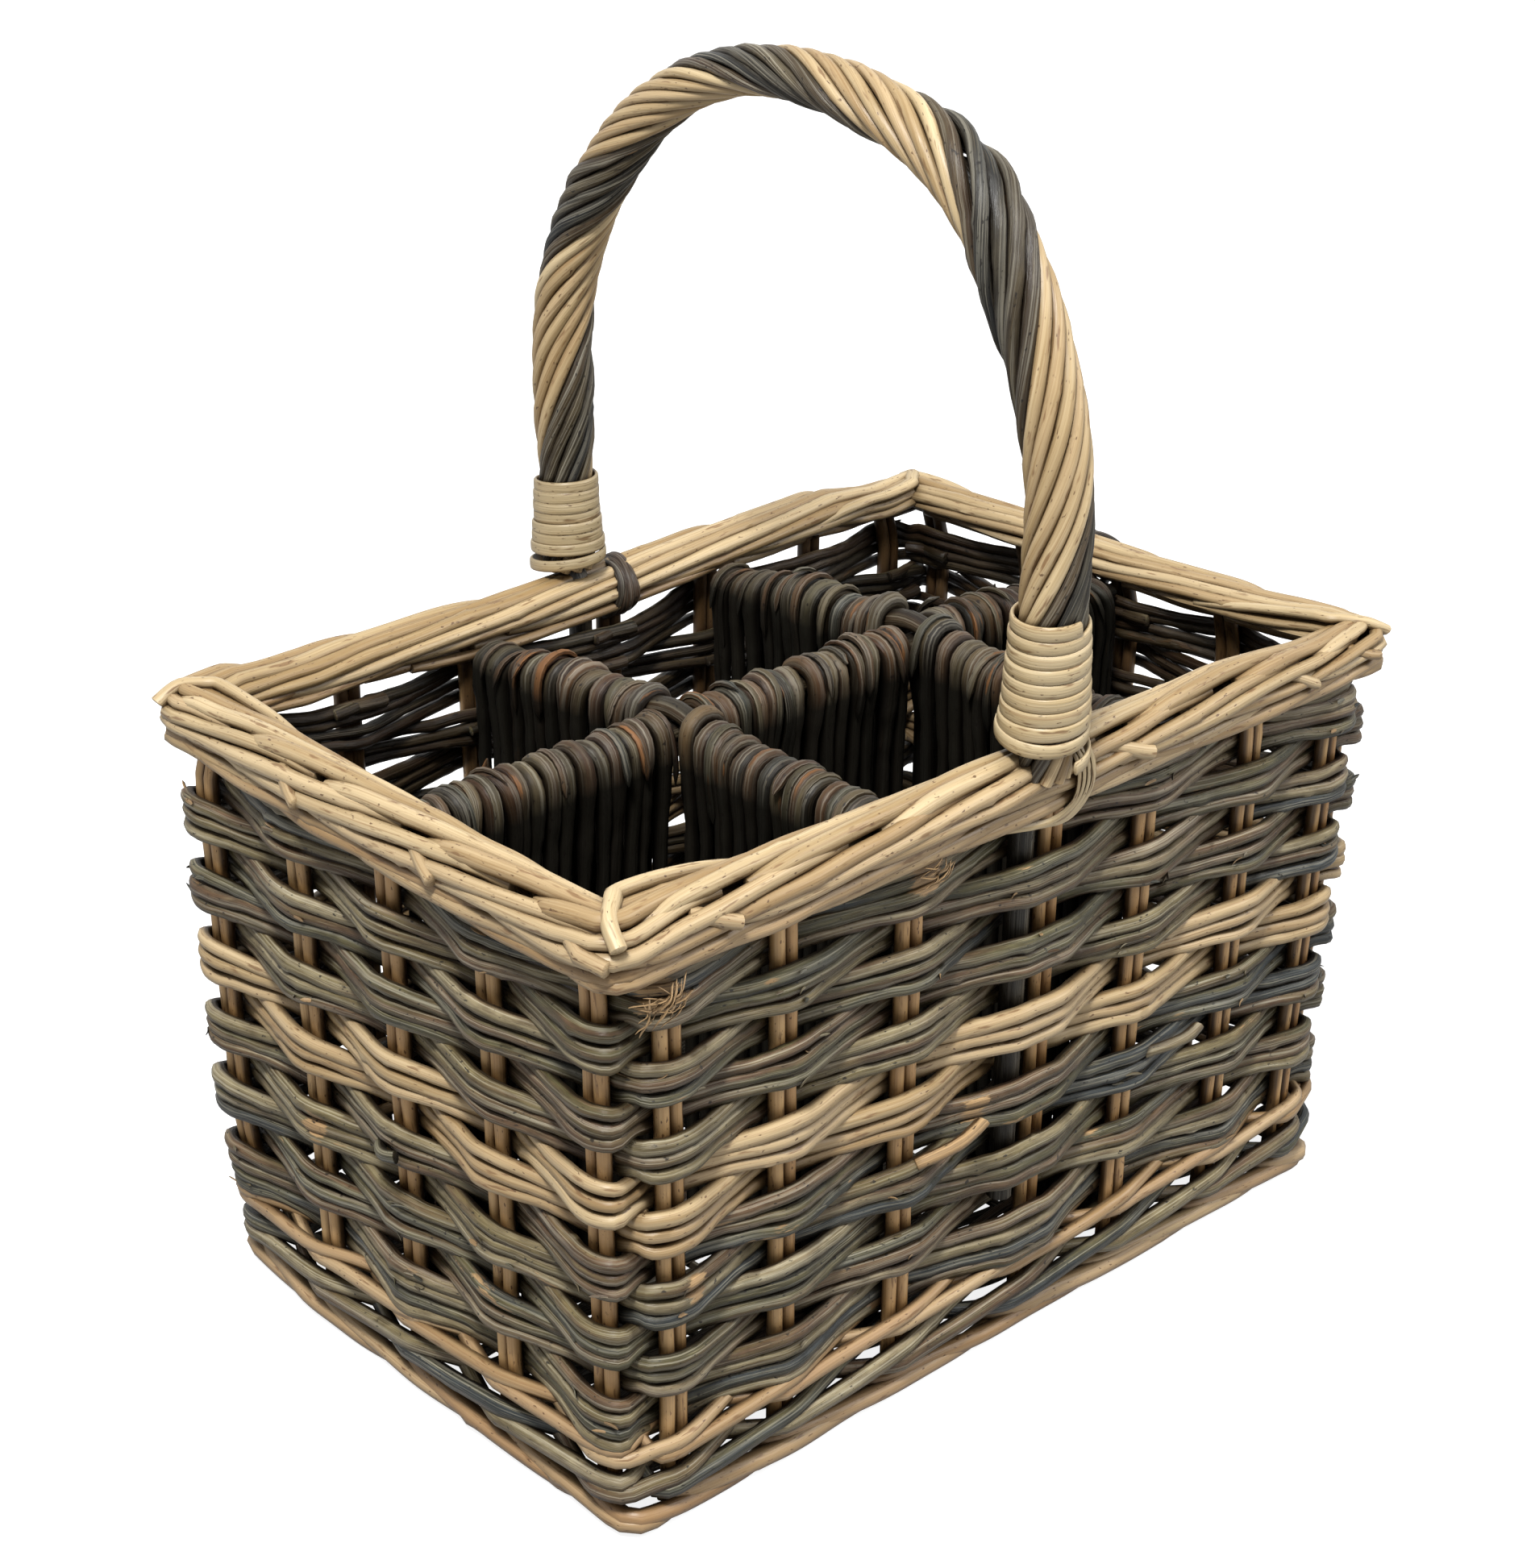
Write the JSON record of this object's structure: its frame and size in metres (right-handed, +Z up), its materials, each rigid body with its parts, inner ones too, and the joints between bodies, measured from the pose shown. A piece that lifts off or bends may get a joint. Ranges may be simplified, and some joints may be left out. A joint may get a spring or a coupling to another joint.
{
  "type": "wine bottle basket",
  "caption": "Oblong willow basket with inside partitions for bottles, stakes in pairs, dark and buff weave, and a fixed arched handle bound with cane.",
  "frame": {"origin": "on the ground below the middle of the basket", "axes": "+X along the length of the basket, +Y across it in the plane of the handle, +Z up"},
  "size_m": [0.3713, 0.2546, 0.4192],
  "materials": {
    "buff_willow": "peeled, satin",
    "dark_willow": "bark on, matt",
    "brown_willow": "bark on, matt",
    "cane": "flat cane, satin"
  },
  "bodies": {
    "root": {"base_panel": "dark_willow", "end_border_tie": "dark_willow", "far_binding": "cane", "far_border_tie": "dark_willow", "foot_border": "buff_willow", "handle_core": "brown_willow", "handle_wrap_buff": "buff_willow", "handle_wrap_dark": "dark_willow", "near_binding": "cane", "near_lashing": "cane", "partition_left_back": "brown_willow", "partition_left_front": "brown_willow", "partition_lengthwise": "brown_willow", "partition_right_back": "brown_willow", "partition_right_front": "brown_willow", "rail_cross_left": "brown_willow", "rail_cross_right": "brown_willow", "rail_lengthwise": "brown_willow", "stake_pair_01": "buff_willow", "stake_pair_02": "buff_willow", "stake_pair_03": "buff_willow", "stake_pair_04": "buff_willow", "stake_pair_05": "buff_willow", "stake_pair_06": "buff_willow", "stake_pair_07": "buff_willow", "stake_pair_08": "buff_willow", "stake_pair_09": "buff_willow", "stake_pair_10": "buff_willow", "stake_pair_11": "buff_willow", "stake_pair_12": "buff_willow", "stake_pair_13": "buff_willow", "stake_pair_14": "buff_willow", "stake_pair_15": "buff_willow", "stake_pair_16": "buff_willow", "stake_pair_17": "buff_willow", "stake_pair_18": "buff_willow", "stake_pair_19": "buff_willow", "stake_pair_20": "buff_willow", "stake_pair_21": "buff_willow", "stake_pair_22": "buff_willow", "stake_pair_23": "buff_willow", "stake_pair_24": "buff_willow", "top_border": "buff_willow", "wale_buff": "buff_willow", "wale_dark": "dark_willow", "weave_band_01": "dark_willow", "weave_band_02": "dark_willow", "weave_band_03": "dark_willow", "weave_band_04": "dark_willow", "weave_band_05": "dark_willow", "weave_band_06": "buff_willow", "weave_band_07": "buff_willow", "weave_band_08": "dark_willow", "weave_band_09": "dark_willow", "weave_band_10": "dark_willow", "weave_band_11": "dark_willow", "weave_band_12": "dark_willow"}
  },
  "joints": []
}
